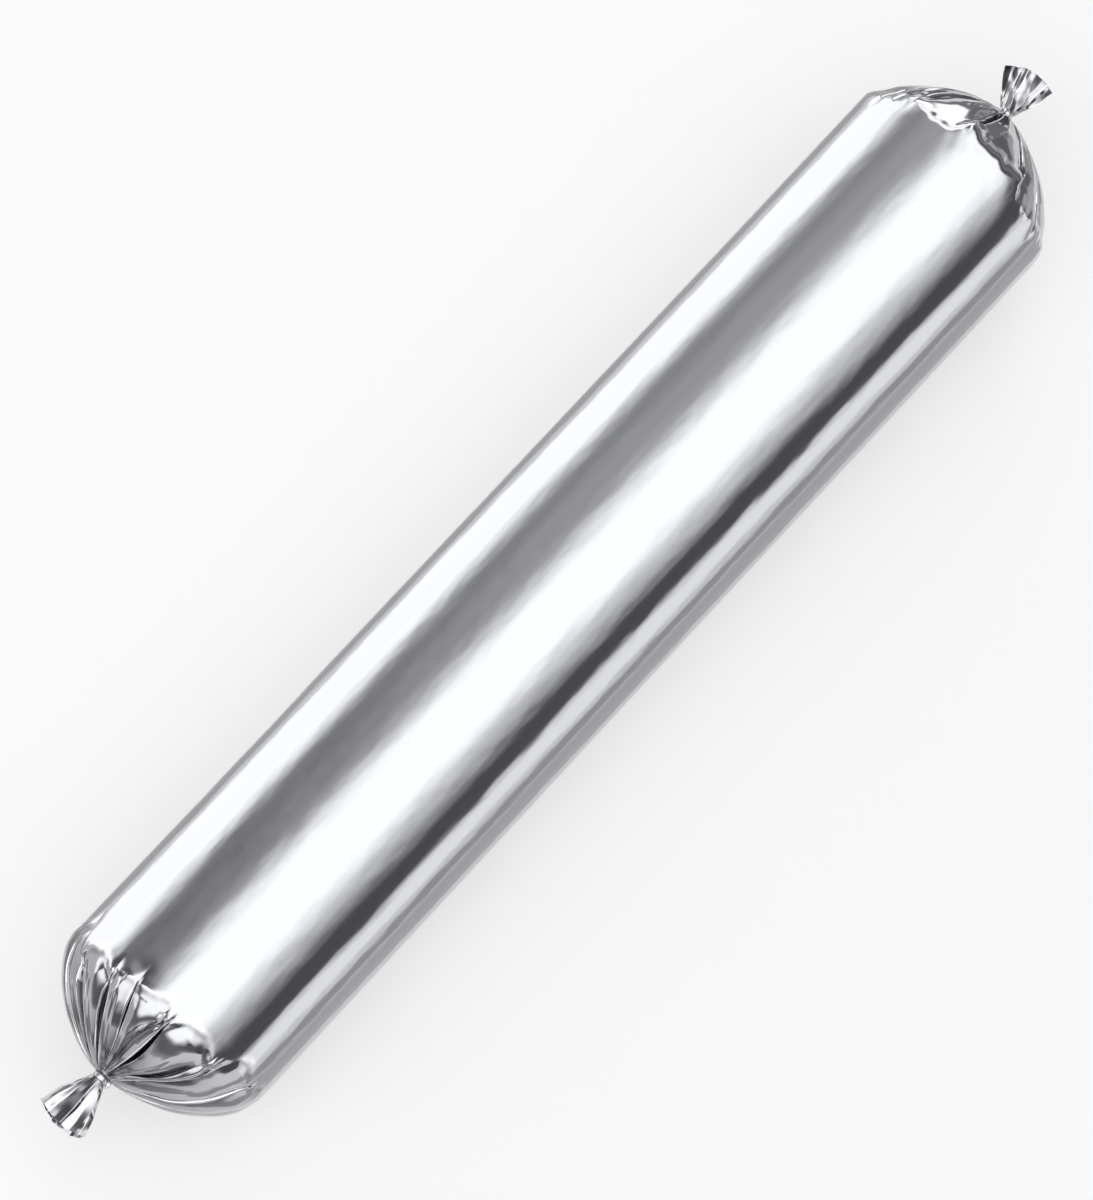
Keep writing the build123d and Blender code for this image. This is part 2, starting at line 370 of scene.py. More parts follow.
# The edge of the even body between two gathers, where it is known: place from one
# gather to the next as a share, and rise above the straight line between their starts
nearArches = {
    0: ((0.07, 1.1), (0.2, 2.3), (0.48, 2.8), (0.75, 2.1)),
    1: ((0.1, 1.0), (0.4, 1.0), (0.77, 0.3)),
    2: ((0.37, 0.8), (0.65, 2.3), (0.86, 3.2), (0.96, 2.2)),
    3: ((0.5, 0.1),),
    4: ((0.09, 1.2), (0.23, 3.0), (0.41, 2.9), (0.64, 3.4), (0.89, 1.7)),
    5: ((0.5, 0.1),),
    6: ((0.05, 2.6), (0.25, 4.5), (0.44, 4.8), (0.68, 3.3)),
}
farArches = {
    1: ((0.21, 2.2), (0.4, 3.1), (0.64, 4.6), (0.81, 4.4)),
    2: ((0.2, 2.0), (0.51, 2.1), (0.76, 1.7)),
    3: ((0.06, 3.4), (0.2, 3.8), (0.44, 3.1)),
}

# Fine pleats: path, width and height of the ridge beside a shallow groove
nearRidges = (
    (((12.5, -36), (7, -34), (2, -31)), 0.34, 0.16),
    (((13.0, -17.5), (7, -13.5), (2, -9)), 0.32, 0.20),
    (((12.5, -13.5), (7, -9), (2, -4)), 0.32, 0.16),
    (((9.5, 0), (6, 3), (2, 5)), 0.34, 0.16),
    (((10.5, 29), (6, 29), (2, 25)), 0.36, 0.2),
    (((8.5, 59), (5, 58), (2, 55)), 0.34, 0.16),
    (((10.5, 86), (5, 86), (2, 84)), 0.34, 0.16),
    (((9.5, 112), (5, 112), (2, 110)), 0.34, 0.18),
    (((9.5, 159), (5, 158), (2, 158)), 0.34, 0.18),
    (((9.5, 206), (5, 206), (2, 206)), 0.34, 0.18),
    (((9.5, 254), (5, 255), (2, 257)), 0.34, 0.18),
    (((11.5, 304), (6, 306), (2, 309)), 0.34, 0.16),
)
farRidges = (
    (((13, -40), (7, -40), (2, -37)), 0.34, 0.16),
    (((10, -13), (6, -12), (2, -8)), 0.34, 0.2),
    (((9, 20), (5, 20), (2, 19)), 0.34, 0.18),
    (((12, 52), (7, 51), (2, 49)), 0.36, 0.2),
    (((12, 80), (6, 79), (2, 76)), 0.34, 0.18),
    (((10, 110), (5, 110), (2, 108)), 0.34, 0.18),
    (((10, 173), (5, 172), (2, 172)), 0.34, 0.18),
    (((10, 236), (5, 237), (2, 238)), 0.34, 0.18),
    (((10, 295), (5, 296), (2, 298)), 0.34, 0.16),
)

# Folds of each tail at its mouth, all round it, from its edge towards +Y over the
# top: place towards -Y and up, painted shade or highlight of the fold, painted
# shade or highlight of the panel after it
nearTail = (
    (-5.7, -0.2, -0.8, -0.1), (-5.0, 1.0, -0.9, 0.4), (-4.0, 1.35, -1.0, -0.1),
    (-2.4, 0.9, -0.5, -0.1), (-0.6, 1.1, 0.0, 0.2), (0.9, 1.7, -1.0, 0.8),
    (1.2, 0.9, 0.4, -0.1), (3.0, 0.45, -0.4, 0.1), (4.6, 0.75, 0.2, 0.5),
    (5.2, 1.05, -1.0, -0.1), (6.3, 0.3, -0.8, 0.3), (5.3, -1.8, 0.3, 0.3),
    (3.3, -3.3, -0.5, 0.3), (1.6, -2.6, 0.5, 0.2), (-0.2, -3.9, -0.6, 0.3),
    (-1.9, -2.6, 0.5, 0.3), (-3.6, -2.9, -0.6, 0.4), (-5.0, -1.3, 0.3, 0.2),
)
farTail = (
    (-5.9, 0.6, -0.6, 0.5), (-4.1, 1.2, -0.9, 0.2), (-3.3, 0.8, 0.2, 0.2),
    (-2.4, 1.4, -0.9, 0.2), (-1.7, 1.15, 0.2, 0.4), (-1.0, 1.4, -1.0, -0.3),
    (0.9, 0.95, 0.4, 0.2), (2.6, 1.4, 0.0, 0.2), (4.1, 1.15, -0.9, 0.2),
    (4.8, 0.7, 0.5, 0.2), (6.0, 0.95, -0.9, 0.0), (5.1, -0.9, 0.3, 0.2),
    (3.1, -1.7, -0.5, 0.3), (1.5, -1.1, 0.5, 0.2), (-0.3, -2.0, -0.5, 0.3),
    (-2.1, -1.1, 0.5, 0.2), (-3.6, -1.8, -0.5, 0.3), (-5.2, -0.7, 0.4, 0.2),
)

# Each end: its gathers, arches and pleats, its dome, and the shade painted on its
# foil. A tail's bow is how far its cut edge falls back at the sides. Its lozenges
# are patches of painted shade where two folds part: share of the length, half
# length, place in folds, half width, strength of the painted shade.
nearEnd = {
    "folds": nearFolds, "ridges": nearRidges, "known": nearArches, "side": -1,
    "clip": skin["nearClip"], "dome": 18.8, "fullness": 0.66, "shift": 1.4,
    "turn": -2.0, "tailSeed": 3, "jag": 0.10,
    # painted shade on the lobes' sides, painted shade and highlight at the arches, painted shade
    # towards the neck
    "sideShade": 0.9, "archShade": 1.0, "edge": (-0.4, 1.9),
    "neckShade": (0.5, 1.0, 0.6, 0.3, 0.9, 0.6, 0.5) + (0.5,) * 9 + (0.8,),
    "corners": nearTail, "tail": 11.6, "bow": 1.3, "middle": -1.0, "rim": 0.0,
    "lozenges": (
        (0.46, 0.16, 2.5, 0.3, 1.2), (0.2, 0.14, 1.4, 0.9, 0.9), (0.18, 0.1, 3.3, 0.5, 0.8),
        (0.86, 0.05, 2.7, 0.25, 0.8), (0.35, 0.2, 8.4, 0.5, 0.5),
    ),
}
farEnd = {
    "folds": farFolds, "ridges": farRidges, "known": farArches, "side": 1,
    "clip": skin["farClip"], "dome": 23.0, "fullness": 0.78, "shift": 0.8,
    "turn": 8.5, "tailSeed": 5, "jag": 0.34,
    # painted shade on the lobes' sides, painted shade and highlight at the arches, painted shade
    # towards the neck
    "sideShade": 0.6, "archShade": 0.15, "edge": (-0.9, 2.8), "neckShade": (0.4,) * 12,
    "corners": farTail, "tail": 10.2, "bow": 1.9, "middle": 0.0, "rim": 0.6,
    "lozenges": (
        (0.45, 0.18, 2.6, 0.4, 0.7), (0.9, 0.15, 0.3, 0.5, 0.6), (0.25, 0.1, 6.6, 0.6, 0.7),
        (0.92, 0.08, 6.6, 0.5, 0.5), (0.95, 0.1, 9.6, 0.5, 0.7),
    ),
}
# how far the fan has opened at a share of its length
tailOpening = ((0.0, 0.12, 0.25, 0.5, 0.75, 1.0), (0.0, 0.17, 0.38, 0.66, 0.85, 1.0))
tailFold = {
    # how far the folds wander to the side and up, and in how many waves
    "wander": (0.16, 0.13), "waves": (1.2, 1.4), "wanderFrom": (0, 0.4),
    # times that the corners are rounded, and the width of a fold's painted highlight
    # or painted shade line as a share of a panel
    "rounding": 3, "lineShare": 0.14, "panelPower": 0.4, "rimFrom": (0.92, 1.0),
    # ragged cut edge: two waves, and a little shorter on top
    "ragged": ((0.10, 5), (0.08, 11)), "shorterOnTop": 0.2, "halfFan": 6,
}

# How a gather grows, by the distance past its start
gather = {
    "lapped": (-0.2, 4.5), "opened": (-0.2, 5.0), "deepened": (-0.3, 1.4),
    "shaped": (-0.4, 1.2), "widthAtStart": 0.5, "depthAtStart": 0.3,
    # its slit is widest this far on, and closes to a share of that at the neck
    "widestAt": 6.0, "openAtNeck": 0.45, "leastOpening": 0.06,
    # the most that it takes of the room up to its neighbours, in degrees at first
    "mostRoom": 16, "mostWidth": 0.44, "mostOpening": 0.20, "mostDepth": 0.40,
    # a shallower one branches off the next gather
    "branchDepth": 0.6,
    # the sharp little valley ahead of its start
    "valleyDepth": 0.42, "valleyEnd": (5.0, 0.0), "valleyStart": (-4.0, -0.5),
    "valleyWidth": 0.7, "valleySpread": 0.28,
}
pleat = {
    "grown": (-0.3, 2.0), "atRadius": (6, 11), "spread": 1.25, "grooveAt": 1.7,
    "grooveDepth": 0.8,
}
# The lobes between gathers. Ranges for seeded sizes first.
lobe = {
    "crown": (1.3, 2.1), "arch": (1.6, 3.2), "swell": (0.15, 0.45), "hollow": (0.04, 0.12),
    # distance past the start, or past the arch, over which each of them grows
    "crowned": (-2.5, 6.0), "mostCrown": 0.27, "swollen": (0.3, 3.2), "swellSpent": (16.0, 4.0),
    # where the hollow under an arch lies; where its painted shade line and the painted highlight
    # above it lie, their width and strength
    "hollowAt": 0.9, "lineAt": 0.8, "lipAt": -0.2, "lineWidth": 0.5, "lineShade": 0.6,
    # painted shade on the sides of a lobe and towards the neck
    "sidesShaded": (0.5, 6.0), "sideShare": 0.16, "sideLeast": 0.6,
    "neckShaded": (9.0, 3.0), "neckRelief": 0.4, "plainBelow": 0.15,
}


def lobeColumns(folds):
    # how many columns the lobe after each gather has: its share of those that the
    # gathers leave
    count = len(folds)
    starts = [fold[0][0][1] for fold in folds]
    gaps = [(starts[(k + 1) % count] - starts[k]) % 360 for k in range(count)]
    free = skin["columns"] - count * skin["foldColumns"]
    bounds = np.round(np.cumsum([0] + gaps) / 360 * free).astype(int)
    return [int(part) for part in np.diff(bounds)]


def foldPath(path, distance):
    # angle of a gather at a distance from the clip: a smooth line through its points
    spots = np.array(path)
    held = np.clip(distance, spots[:, 0].min(), spots[:, 0].max())
    bend = np.polyfit(spots[:, 0], spots[:, 1], len(path) - 1)
    return float(np.polyval(bend, held))


def archCurve(points, k, jag):
    # rise of an arch at even steps between two gathers, rounded and slightly jagged
    spots = np.array(((0.0, 0.0),) + points + ((1.0, 0.0),))
    share = np.linspace(0, 1, 101)
    line = np.interp(share, spots[:, 0], spots[:, 1])
    window = np.hanning(15) / np.hanning(15).sum()
    padded = np.pad(line, 7, mode="reflect", reflect_type="odd")
    smooth = np.convolve(padded, window, "valid")
    bow = 1 - (2 * share - 1) ** 2
    return smooth + jag * (np.sin(share * 13 + k * 2.1) + 0.6 * np.sin(share * 27 + k)) * bow


def domeProfile(end):
    # distance from the clip, radius and arc length from the shoulder, shoulder to neck
    theta = np.radians(np.linspace(0, 90, 400))
    share = np.sin(theta)
    distance = skin["halfNeck"] + end["dome"] * (1 - share)
    bulge = (1 - share ** 2) ** end["fullness"]
    radius = skin["collar"] + (skin["radius"] - skin["collar"]) * bulge
    arc = np.concatenate([[0], np.cumsum(np.hypot(np.diff(distance), np.diff(radius)))])
    return distance, radius, arc


def gatherSizes(end, distance, radius, gaps):
    # half width, opening, depth and growth of each gather at a distance from the clip
    widths, openings, depths, grown = [], [], [], []
    for k, (path, width, opening, depth, _) in enumerate(end["folds"]):
        pitch = radius * math.radians(min(gaps[k], gaps[k - 1], gather["mostRoom"]))
        start = path[0][0]
        beyond = start - distance
        lap = smoothStep(*gather["lapped"], beyond)
        closing = (1 - gather["openAtNeck"]) * smoothStep(start, gather["widestAt"], beyond)
        lens = smoothStep(*gather["opened"], beyond) * (gather["openAtNeck"] + closing)
        wide = width * (gather["widthAtStart"] + (1 - gather["widthAtStart"]) * lap)
        deep = depth * (gather["depthAtStart"] + (1 - gather["depthAtStart"]) * lap)
        widths.append(min(wide, gather["mostWidth"] * pitch))
        openings.append(min(opening * lens + gather["leastOpening"],
                            gather["mostOpening"] * pitch))
        depths.append(min(deep, gather["mostDepth"] * pitch)
                      * smoothStep(*gather["deepened"], beyond))
        grown.append(smoothStep(*gather["shaped"], beyond))
    return widths, openings, depths, grown


def lobeForm(end, k, offset, distance, radius, gap):
    # height and painted shade of the lobe after a gather, by the angle past that
    # gather. It is crowned, lowest at its two gathers. Above it the body stays even up
    # to an arch that runs from one gather's start to the next one's.
    share = np.where((offset >= 0) & (offset <= gap), offset / gap, 0.5)
    bow = 1 - (2 * share - 1) ** 2
    pitch = radius * math.radians(gap)
    feet, arch = end["feet"], end["arches"][k]
    start = feet[k] * (1 - share) + feet[(k + 1) % len(feet)] * share
    steps = np.linspace(0, 1, len(arch))
    rise = np.interp(share, steps, arch)
    steep = np.interp(share, steps, np.gradient(arch, 1 / (len(arch) - 1)))
    steep = steep / (skin["radius"] * math.radians(gap))
    past = (start + rise - distance) / np.sqrt(1 + steep ** 2)
    crown = np.minimum(end["crowns"][k] * smoothStep(*lobe["crowned"], start - distance),
                       lobe["mostCrown"] * pitch)
    swell = end["swells"][k] * smoothStep(*lobe["swollen"], past)
    swell = swell * smoothStep(*lobe["swellSpent"], past) * bow
    even = (skin["radius"] - radius) * smoothStep(*end["edge"][::-1], past)
    hollow = end["hollows"][k] * np.exp(-((past - lobe["hollowAt"]) / lobe["hollowAt"]) ** 2) * bow
    # painted shade: the sides of a lobe face each other and are painted darker
    lap = smoothStep(*lobe["sidesShaded"], start - distance)
    toSide = np.minimum(share, 1 - share) * pitch
    shaded = end["sideShade"] * lap * np.exp(
        -toSide / (lobe["sideShare"] * pitch + lobe["sideLeast"]))
    # painted shade towards the neck
    shaded = shaded + (end["neckShade"][k] * smoothStep(*lobe["neckShaded"], distance)
                       * (1 - lobe["neckRelief"] * bow))
    # a painted shade line under the arch and a painted highlight on the lip above it, where it
    # isn't steep
    line = np.exp(-((past - lobe["lineAt"]) / lobe["lineWidth"]) ** 2)
    lip = np.exp(-((past - lobe["lipAt"]) / lobe["lineWidth"]) ** 2)
    shaded = shaded + (end["archShade"] * lobe["lineShade"] * (line - lip) * bow ** 0.5
                       / (1 + 2 * steep ** 2))
    return swell + even - hollow - crown * (1 - bow), shaded


def gatheredRow(end, distance, radius):
    # one ring of a gathered end: angles (degrees), radii and painted shade and highlight
    folds = end["folds"]
    count = len(folds)
    middles = [foldPath(fold[0], distance) for fold in folds]
    gaps = [(middles[(k + 1) % count] - middles[k]) % 360 for k in range(count)]
    widths, openings, depths, grown = gatherSizes(end, distance, radius, gaps)
    angles, heights, paintedShades = [], [], []
    for k in range(count):
        sign = folds[k][4]
        section = foldSection[::sign]
        even = np.linspace(-1, 1, skin["foldColumns"]) * widths[k]
        laid = np.array([sign * (t * widths[k] + g * openings[k]) for t, g, _, _ in section])
        across = laid * grown[k] + even * (1 - grown[k])
        angles.append(middles[k] + np.degrees(across / radius))
        heights.append(np.array([h for _, _, h, _ in section]) * depths[k])
        # painted shade in the crease and painted highlight on the lips, where the gather has grown
        paintedTone = np.array([c for _, _, _, c in section])
        paintedShades.append(paintedTone * grown[k] * min(1, 2 * folds[k][3]))
        columns = end["lobeColumns"][k]
        first = middles[k] + math.degrees(widths[k] / radius)
        last = middles[k] + gaps[k] - math.degrees(widths[(k + 1) % count] / radius)
        angles.append(first + (last - first) * (np.arange(columns) + 1) / (columns + 1))
        heights.append(np.zeros(columns))
        paintedShades.append(np.zeros(columns))
    angles, paintedShades = np.concatenate(angles), np.concatenate(paintedShades)
    height = np.concatenate(heights)

    def past(middle):
        # angle past a gather or a pleat
        return (angles - middle + 180) % 360 - 180

    for k in range(count):
        inside = (past(middles[k]) >= 0) & (past(middles[k]) <= gaps[k])
        raised, shaded = lobeForm(end, k, past(middles[k]), distance, radius, gaps[k])
        height += np.where(inside, raised, 0)
        paintedShades += np.where(inside & (np.abs(paintedShades) < lobe["plainBelow"]), shaded, 0)
    for k, (path, _, _, depth, _) in enumerate(folds):
        # a sharp little valley runs ahead of each gather's start
        ahead = distance - path[0][0]
        strength = 0 if depth < gather["branchDepth"] else gather["valleyDepth"]
        strength *= smoothStep(*gather["valleyEnd"], ahead)
        strength *= smoothStep(*gather["valleyStart"], ahead)
        offset = past(middles[k]) * math.pi / 180 * radius
        spread = gather["valleyWidth"] + gather["valleySpread"] * max(ahead, 0)
        height -= strength * np.exp(-np.abs(offset) / spread)
    for path, wide, tall in end["ridges"]:
        # fine pleats that run down to the clip, each with a groove beside it
        offset = past(foldPath(path, distance)) * math.pi / 180 * radius
        strength = tall * smoothStep(*pleat["grown"], path[0][0] - distance)
        strength = strength * smoothStep(*pleat["atRadius"], radius)
        thin = wide * pleat["spread"]
        groove = np.exp(-((offset - pleat["grooveAt"] * thin) / thin) ** 2)
        height += strength * (np.exp(-(offset / thin) ** 2) - pleat["grooveDepth"] * groove)
    return angles, radius + height, paintedShades


def tailRow(end, share, inset=0.0):
    # one ring of the folded tail: straight panels between its folds. Returns places
    # towards -Y and up, and the painted shade and highlight.
    corners = np.array(end["corners"])
    count = len(corners)
    turn = np.radians(-90 + 360 * np.arange(count) / count)
    opened = np.interp(share, *tailOpening)
    east = skin["collar"] * np.sin(turn) * (1 - opened) + corners[:, 0] * opened
    up = skin["collar"] * np.cos(turn) * (1 - opened) + corners[:, 1] * opened
    # the folds wander a little on their way to the mouth
    phase = np.random.default_rng(end["tailSeed"]).uniform(0, 2 * math.pi, (2, count))
    wave = [np.sin(2 * math.pi * tailFold["waves"][i] * share + phase[i]) for i in (0, 1)]
    east = east + tailFold["wander"][0] * wave[0] * math.sin(math.pi * share)
    up = up + tailFold["wander"][1] * wave[1] * smoothStep(*tailFold["wanderFrom"], share)
    along = np.linspace(0, count, skin["columns"], endpoint=False)
    panel = along.astype(int)
    part = along - panel
    closed = np.arange(count + 1)
    px = np.interp(along, closed, np.append(east, east[0]))
    pz = np.interp(along, closed, np.append(up, up[0]))
    # rounded folds, and panels that curve a little
    for _ in range(tailFold["rounding"]):
        px = (np.roll(px, 1) + 2 * px + np.roll(px, -1)) / 4
        pz = (np.roll(pz, 1) + 2 * pz + np.roll(pz, -1)) / 4
    middle = end["middle"] * opened
    out = np.hypot(px, pz - middle)
    shrink = 1 - inset / np.maximum(out, inset + 0.05)
    px, pz = px * shrink, middle + (pz - middle) * shrink
    # painted highlight or shade along each fold, and painted shade over each panel and its
    # lozenges
    ahead = (panel + 1) % count
    thin = tailFold["lineShare"]
    lip = (corners[panel, 2] * np.exp(-(part / thin) ** 2)
           + corners[ahead, 2] * np.exp(-((1 - part) / thin) ** 2))
    paintedPanelShade = corners[panel, 3] * np.sin(math.pi * part) ** tailFold["panelPower"]
    for place, reach, fold, wide, dark in end["lozenges"]:
        paintedPanelShade = paintedPanelShade + dark * np.exp(-((share - place) / reach) ** 2 - ((along - fold) / wide) ** 2)
    # darker towards the cut edge
    paintedPanelShade = paintedPanelShade + end["rim"] * smoothStep(*tailFold["rimFrom"], share)
    return px, pz, np.clip(lip + paintedPanelShade * (1 - np.abs(lip)), -1, 1)


def tailPoints(end, across, up, share, root, closed=False):
    # a tail's ring in space: the fan's cut edge lies at one distance from the clip
    t = math.radians(end["turn"])
    reach = end["tail"] * share - end["bow"] * (across / tailFold["halfFan"]) ** 2 * share ** 2
    a = np.arctan2(across, up)
    (coarse, few), (fine, many) = tailFold["ragged"]
    cut = coarse * np.sin(few * a + end["tailSeed"]) + fine * np.sin(many * a)
    cut = cut - tailFold["shorterOnTop"] * np.cos(a)
    reach = reach + (0 if closed else cut * share ** 3)
    return np.stack([
        root + end["side"] * reach * math.cos(t) + across * math.sin(t),
        end["shift"] + end["side"] * reach * math.sin(t) - across * math.cos(t),
        skin["axisHeight"] + up,
    ], axis=1)


def ringPoints(angles, radii, x, y0):
    # points of a ring across the pack
    a = np.radians(angles)
    return np.stack([np.full(len(a), float(x)), y0 - radii * np.sin(a),
                     skin["axisHeight"] + radii * np.cos(a)], axis=1)


def startEnd(end):
    # settings that follow from an end's lists, and its seeded sizes
    rng = np.random.default_rng(skin["seed"] + end["side"])
    folds = end["folds"]
    count = len(folds)
    end["lobeColumns"] = lobeColumns(folds)
    # an arch starts from the gather's start, or where it branches off the next one
    starts = [path[0][0] for path, _, _, _, _ in folds]
    end["feet"] = [starts[(k + 1) % count] if folds[k][3] < gather["branchDepth"] else starts[k]
                   for k in range(count)]
    end["crowns"] = rng.uniform(*lobe["crown"], count)
    end["arches"] = []
    for k, high in enumerate(rng.uniform(*lobe["arch"], count)):
        points = end["known"].get(k, ((0.25, 0.75 * high), (0.5, high), (0.75, 0.75 * high)))
        end["arches"].append(archCurve(points, k, end["jag"]))
    end["swells"] = rng.uniform(*lobe["swell"], count)
    end["hollows"] = rng.uniform(*lobe["hollow"], count)


def tailRoot(end, neckAngles):
    # angles of the tail's first ring, numbered on from the neck's, and the columns
    # that they are turned by
    px, pz, _ = tailRow(end, 0)
    angles = np.degrees(np.arctan2(px, pz))
    turned = int(np.argmin(np.abs((angles - neckAngles[0] + 180) % 360 - 180)))
    angles = np.roll(angles, -turned)
    first = neckAngles[0] + ((angles - neckAngles[0] + 180) % 360 - 180)[0]
    steps = (np.diff(angles) + 180) % 360 - 180
    return first + np.concatenate([[0], np.cumsum(steps)]), turned


def buildEnd(end):
    # rings and painted shade and highlight of one end, from the body to the bottom of its tail's
    # hollow
    startEnd(end)
    side, clip, halfNeck = end["side"], end["clip"], skin["halfNeck"]
    rows, paintedShades = [], []
    distance, radius, arc = domeProfile(end)
    # shoulder rows reach back into the even body, closer together near the dome
    ahead = 1 - np.linspace(0, 1, skin["shoulderRows"], endpoint=False)
    stations = [(end["dome"] + halfNeck + behind, skin["radius"])
                for behind in skin["shoulderReach"] * ahead ** 1.4]
    steps = arc[-1] * np.linspace(0, 1, skin["domeRows"]) ** 1.15
    stations += list(zip(np.interp(steps, arc, distance), np.interp(steps, arc, radius)))
    for far, wide in stations:
        angles, radii, paintedTone = gatheredRow(end, far, wide)
        share = np.clip(1 - (far - halfNeck) / end["dome"], 0, 1)
        rows.append(ringPoints(angles, radii, clip - side * far, end["shift"] * share ** 2))
        paintedShades.append(paintedTone)
    # the neck under the clip, squeezed in the middle
    neckAngles = angles
    rootAngles, turned = tailRoot(end, neckAngles)
    ripple, ripples = skin["neckRipple"]
    for step in np.linspace(0, 1, skin["neckRows"] + 2)[1:-1]:
        place = -halfNeck + 2 * halfNeck * step
        waist = skin["neck"] + (skin["collar"] - skin["neck"]) * abs(2 * step - 1) ** 3
        angles = neckAngles + (rootAngles - neckAngles) * step
        waist = waist * (1 + ripple * np.cos(np.radians(angles) * ripples))
        rows.append(ringPoints(angles, waist, clip + side * place, end["shift"]))
        # painted shade on the neck
        paintedShades.append(np.full(len(angles), skin["neckPaintedShade"]))
    # the tail, out to its mouth and back inside to the bottom of its hollow
    root = clip + side * halfNeck
    outside = [(share, 0.0) for share in np.linspace(0, 1, skin["tailRows"])]
    inside = [(share, skin["wall"])
              for share in np.linspace(1, skin["hollowShare"], skin["hollowRows"])]
    for share, inset in outside + inside:
        across, up, paintedTone = [np.roll(part, -turned) for part in tailRow(end, share, inset)]
        bottom = (share, inset) == inside[-1]
        if bottom:
            across = across * 0
            up = np.full(len(up), end["middle"] * np.interp(share, *tailOpening))
        if inset:
            # painted shade inside the hollow, darker towards the bottom
            paintedTone = 0.35 * paintedTone + 0.7 * smoothStep(0.97, 0.55, share)
        else:
            # painted shade near the clip, fading out along the tail
            away = smoothStep(0, 0.2, share)
            paintedTone = paintedTone * away + 0.4 * (1 - away)
        rows.append(tailPoints(end, across, up, share, root, closed=bottom))
        paintedShades.append(np.clip(paintedTone, -1, 1))
    return rows, paintedShades


# Unevenness: wave length and height of each, then the distances from each clip over
# which it sets in and the neck is left smooth
crumple = {
    "ends": ((8.0, 0.12), (3.4, 0.035)), "nearEnd": (23, 12), "farEnd": (27, 14),
    "offNeck": (-0.5, 3),
    # the filled body is very slightly uneven, drawn out along its length
    "body": ((30.0, 0.085, 0.35), (13.0, 0.010, 0.5)), "bodyFrom": (0, 20),
}


def wrinkles(points, rng, size, count=14):
    # smooth, seeded crumple: a sum of plane waves
    total = np.zeros(len(points))
    for _ in range(count):
        direction = rng.normal(size=3)
        direction /= np.linalg.norm(direction)
        wave = 2 * math.pi / (size * rng.uniform(0.7, 1.5))
        total += np.sin(points @ direction * wave + rng.uniform(0, 2 * math.pi))
    return total / math.sqrt(count)


def buildSkin():
    # rings of the whole skin from the near tail's hollow to the far one's
    nearRows, nearDark = buildEnd(nearEnd)
    farRows, farDark = buildEnd(farEnd)
    nearRows, nearDark = nearRows[::-1], nearDark[::-1]
    first, last = nearRows[-1], farRows[0]
    body, dark = [], []
    for step in np.linspace(0, 1, skin["bodyRows"] + 2)[1:-1]:
        ring = first + (last - first) * step
        # keep the ring round while its columns swing from one end's to the other's
        y, z = ring[:, 1], ring[:, 2] - skin["axisHeight"]
        radius = np.hypot(y, z)
        ring = np.stack([ring[:, 0], y / radius * skin["radius"],
                         z / radius * skin["radius"] + skin["axisHeight"]], axis=1)
        body.append(ring)
        dark.append(np.zeros(len(ring)))
    rows = np.array(nearRows + body + farRows)
    shade = np.array(nearDark + dark + farDark)
    rng = np.random.default_rng(skin["seed"])
    points = rows.reshape(-1, 3)
    toNear = points[:, 0] - skin["nearClip"]
    toFar = skin["farClip"] - points[:, 0]
    outward = points - np.array([0, 0, skin["axisHeight"]])
    outward[:, 0] = 0
    outward /= np.maximum(np.linalg.norm(outward, axis=1, keepdims=True), 1e-6)
    nearPart = smoothStep(*crumple["nearEnd"], toNear) * smoothStep(*crumple["offNeck"], toNear)
    farPart = smoothStep(*crumple["farEnd"], toFar) * smoothStep(*crumple["offNeck"], toFar)
    bump = sum(wrinkles(points, rng, size) * high for size, high in crumple["ends"])
    points = points + outward * (bump * np.maximum(nearPart, farPart))[:, None]
    wave = sum(wrinkles(points * np.array([drawn, 1, 1]), rng, size) * high
               for size, high, drawn in crumple["body"])
    onBody = smoothStep(*crumple["bodyFrom"], toNear) * smoothStep(*crumple["bodyFrom"], toFar)
    points = points + outward * (wave * onBody)[:, None]
    points[:, 2] = np.maximum(points[:, 2], 0)
    return points.reshape(rows.shape), shade


rows, shade = buildSkin()
rowCount, columnCount = rows.shape[:2]
print("foil rings:", rowCount, "columns:", columnCount)

bpy.ops.object.select_all(action="DESELECT")
bpy.ops.mesh.primitive_grid_add(x_subdivisions=rowCount - 1, y_subdivisions=columnCount, size=2)
foil = bpy.context.object
foil.name = "foilPack"
mesh = foil.data
co = np.zeros(len(mesh.vertices) * 3)
mesh.vertices.foreach_get("co", co)
co = co.reshape(-1, 3)
rowOf = np.round((co[:, 0] + 1) / 2 * (rowCount - 1)).astype(int)
columnOf = np.round((co[:, 1] + 1) / 2 * columnCount).astype(int) % columnCount
mesh.vertices.foreach_set("co", (rows[rowOf, columnOf] * mm).ravel())
# painted shade in the creases and painted highlight on the fold edges, per point, for the foil's
# colour
crease = mesh.attributes.new("paintedShadeHighlight", "FLOAT", "POINT")
crease.data.foreach_set("value", shade[rowOf, columnOf].astype(np.float32))
mesh.update()
bpy.ops.object.mode_set(mode="EDIT")
bpy.ops.mesh.select_all(action="SELECT")
bpy.ops.mesh.remove_doubles(threshold=0.000002)
bpy.ops.mesh.normals_make_consistent(inside=False)
bpy.ops.object.mode_set(mode="OBJECT")
bpy.ops.object.shade_smooth_by_angle(angle=math.radians(skin["smoothAngle"]))
print("foil faces:", len(mesh.polygons))


foilFinishAndPaintedLight = {
    # painted highlight on fold edges, the foil's own grey, and painted shade inside the creases
    "paintedHighlight": "#FAFAFB", "plain": "#C5C6CA", "paintedCreaseShade": "#717277",
    # noise scales are waves in a metre: roller lines about 1 mm apart, drawn 25 times
    # as long, coarser than real ones so that they show; dents about 7 mm wide, drawn
    # 2.5 times as long; and patches of roughness about 17 mm wide
    "rollerScale": 900.0, "rollerDrawn": 0.04, "rollerBump": (0.04, 0.0002),
    "dentScale": 150.0, "dentDrawn": 0.4, "dentBump": (0.6, 0.0003),
    "patchScale": 60.0, "roughness": (0.09, 0.13),
}


